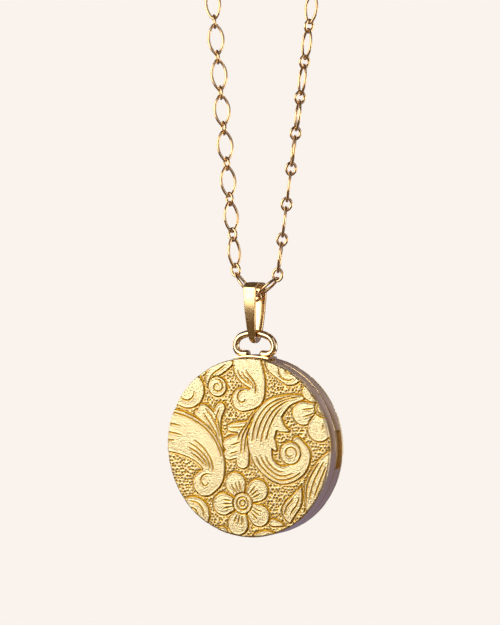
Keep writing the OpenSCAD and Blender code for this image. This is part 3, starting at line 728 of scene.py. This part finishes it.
outer = bail_outline(FOLD_R, FOOT_Z, FOOT_R)
inner = bail_outline(FOLD_R - BAIL_T, EYE_Z, EYE_R)
verts, faces = [], []
count = len(outer)
for edge in (outer, inner):
    for sign in (1, -1):
        for y, z in edge:
            verts.append((sign * float(np.interp(z, STRIP_Z, STRIP_HALF)), y, z))
for k in range(count):
    m = (k + 1) % count
    o1, o2, i1, i2 = 0, count, 2 * count, 3 * count
    faces += [(o1 + k, o1 + m, o2 + m, o2 + k), (i2 + k, i2 + m, i1 + m, i1 + k),
              (o1 + m, o1 + k, i1 + k, i1 + m), (o2 + k, o2 + m, i2 + m, i2 + k)]
verts = np.array(verts)
yaw_turn = np.array([[math.cos(BAIL_YAW), -math.sin(BAIL_YAW)],
                     [math.sin(BAIL_YAW), math.cos(BAIL_YAW)]])
verts[:, :2] = verts[:, :2] @ yaw_turn.T
bail = piece_from("bail_strip", verts, faces)
work = bmesh.new()
work.from_mesh(bail.data)
bmesh.ops.remove_doubles(work, verts=work.verts, dist=1e-7)
bmesh.ops.recalc_face_normals(work, faces=work.faces)
work.to_mesh(bail.data)
work.free()
soften(bail, 0.09, 50)
finish_metal(bail, shaded_satin_gilt, "bail", ["bail"], 40)


# ---------------------------------------------------------------- hinge
# Three tubes of gilt brass turn on a brass pin: the middle one is soldered to the back rim and
# the other two to the front one. All are buffed with the rims.
def refinish(material, *nodes):
    """Gives CAD parts whose shape is right their real finish."""
    for node in nodes:
        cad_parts[node].data.materials.clear()
        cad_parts[node].data.materials.append(material)


refinish(polished_gilt, "front_knuckle_upper", "front_knuckle_lower", "back_knuckle", "hinge_pin")


# ---------------------------------------------------------------- chain and clasp
# Long oval and short round links of drawn gilt wire, each soldered shut, with a spring ring. Its
# tube, bolt and loop are gilt like the chain, and the coil in the tube is bright spring steel.
# Drawn gilt wire: bright, a little warmer than the case, with smooth round highlights.
chain_gilt = gilt("drawn_gilt_wire", "#EDD0A4", "#D2AA76", 0.12, 0.22, 1.0)
refinish(chain_gilt, "bail_link", "left_long_links", "left_short_links", "right_long_links",
         "right_short_links", "jump_ring", "clasp_loop", "clasp_ring", "end_ring", "clasp_bolt")
# Drawn spring steel: cool grey, with broader highlights.
steel = gilt("drawn_spring_steel", "#C8CACC", "#A6A8AC", 0.18, 0.30, 0.5)
refinish(steel, "clasp_spring")


# ---------------------------------------------------------------- inside
# The bezel and the two picture frames are turned brass rings, gilt but not buffed. Each frame
# holds a clear sheet over a card picture, here a plain sepia landscape.
# Turned gilt brass: dull gold with blurred reflections.
turned_gilt = gilt("turned_gilt_brass", "#EFD9AE", "#D9BC86", 0.30, 0.42, 0.8)
refinish(turned_gilt, "inner_bezel", "front_photo_frame", "back_photo_frame")

# Clear acetate sheet: glossy and nearly invisible, with a faint handling haze 2.5 mm across.
HAZE_PER_MM = 0.4
acetate = bpy.data.materials.new("clear_acetate")
acetate.use_nodes = True
tree = acetate.node_tree
tree.nodes.clear()
place = add_node(tree, "TexCoord")
haze = add_node(tree, "TexNoise", {"Vector": place.outputs["Object"],
                                   "Scale": HAZE_PER_MM / MM})
rough = add_node(tree, "MapRange", {"Value": haze.outputs["Fac"], "To Min": 0.02,
                                    "To Max": 0.10})
surface = add_node(tree, "BsdfPrincipled", {
    "Base Color": linear("#F6F8FA"), "Roughness": rough.outputs[0], "IOR": 1.47, "Alpha": 0.16})
add_node(tree, "OutputMaterial", {"Surface": surface.outputs[0]})
refinish(acetate, "front_window", "back_window")

# Sepia print on matt card: a pale sky over dark hills, with the fibres of the paper.
HILLS_PER_MM, FIBRES_PER_MM = 0.16, 9.0
HILL_LOW, HILL_HIGH, HILL_BLUR = -6.0, 4.0, 1.5            # mm up the card
card = bpy.data.materials.new("sepia_card")
card.use_nodes = True
tree = card.node_tree
tree.nodes.clear()
place = add_node(tree, "TexCoord")
centred = add_node(tree, "Mapping", {"Vector": place.outputs["Object"],
                                     "Location": (0, 0, DROP * MM)})
parts = add_node(tree, "SeparateXYZ", {0: centred.outputs[0]})
hills = add_node(tree, "TexNoise", {"Vector": centred.outputs[0], "Scale": HILLS_PER_MM / MM,
                                    "Detail": 4.0})
roll = add_node(tree, "MapRange", {"Value": hills.outputs["Fac"], "To Min": HILL_LOW * MM,
                                   "To Max": HILL_HIGH * MM})
ridge = add_node(tree, "Math", {0: parts.outputs["Z"], 1: roll.outputs[0]}, operation="ADD")
ground = add_node(tree, "MapRange", {"Value": ridge.outputs[0], "From Min": -HILL_BLUR * MM,
                                     "From Max": HILL_BLUR * MM})
fibre = add_node(tree, "TexNoise", {"Vector": centred.outputs[0], "Scale": FIBRES_PER_MM / MM,
                                    "Detail": 3.0})
sepia = add_node(tree, "Mix", {0: ground.outputs[0], 6: linear("#7A5A3C"),
                               7: linear("#E6D7BC")}, data_type="RGBA")
toned = add_node(tree, "Mix", {0: fibre.outputs["Fac"], 6: sepia.outputs[2],
                               7: linear("#CDB692")}, data_type="RGBA")
surface = add_node(tree, "BsdfPrincipled", {"Base Color": toned.outputs[2], "Roughness": 0.75})
add_node(tree, "OutputMaterial", {"Surface": surface.outputs[0]})
refinish(card, "front_photo", "back_photo")
